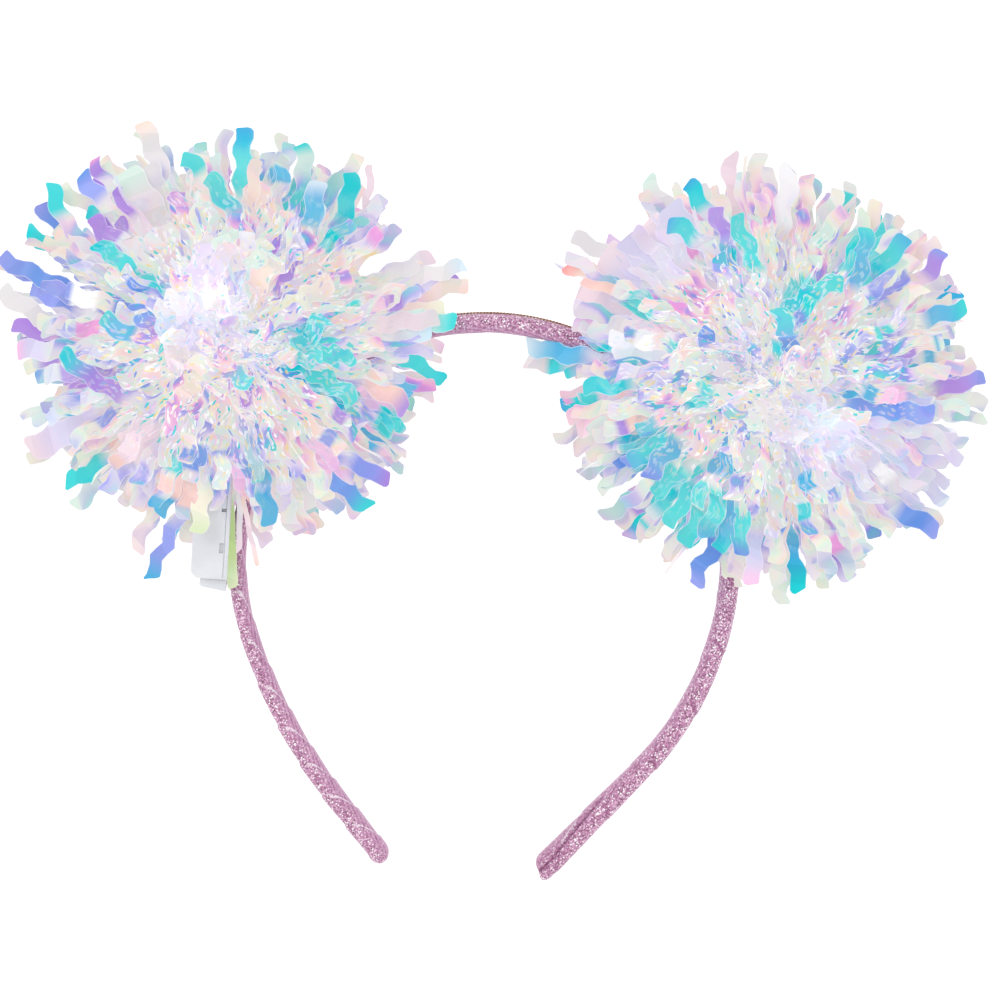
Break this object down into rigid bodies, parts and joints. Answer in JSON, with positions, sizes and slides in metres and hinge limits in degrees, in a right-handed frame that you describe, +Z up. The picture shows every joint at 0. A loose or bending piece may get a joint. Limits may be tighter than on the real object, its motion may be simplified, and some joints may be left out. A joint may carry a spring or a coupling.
{
  "type": "light-up tinsel headband",
  "caption": "Glitter-ribbon headband with iridescent tinsel balls at the crown, lit by wired beads from a small battery case with a slide-out drawer.",
  "frame": {"origin": "under the middle of the whole, on the surface that the headband lies on", "axes": "+X across the head from the wearer's left ball to the right ball as seen in the picture, +Y from the ends of the band to its crown, +Z up from the surface"},
  "size_m": [0.2582, 0.2008, 0.0717],
  "materials": {
    "glitter_ribbon": "woven ribbon with fine glitter",
    "iridescent_film": "clear film with an iridescent coating",
    "bead_resin": "clear cast resin, lit",
    "copper_wire": "lacquered copper",
    "white_casing": "moulded, slightly frosted",
    "cell_steel": "nickel-plated"
  },
  "bodies": {
    "band": {"headband": "glitter_ribbon", "tinsel_pom_left": "iridescent_film", "tinsel_pom_right": "iridescent_film", "led_left": "bead_resin", "led_right": "bead_resin", "led_wire_lead": "copper_wire", "led_wire_arch": "copper_wire", "battery_case": "white_casing"},
    "drawer": {"battery_tray": "white_casing", "coin_cell_outer": "cell_steel", "coin_cell_inner": "cell_steel"}
  },
  "joints": [
    {"name": "drawer_slide", "type": "slide", "parent": "band", "child": "drawer", "axis": [-0.061, -0.9884, -0.1389], "range_m": [0, 0.02]}
  ]
}
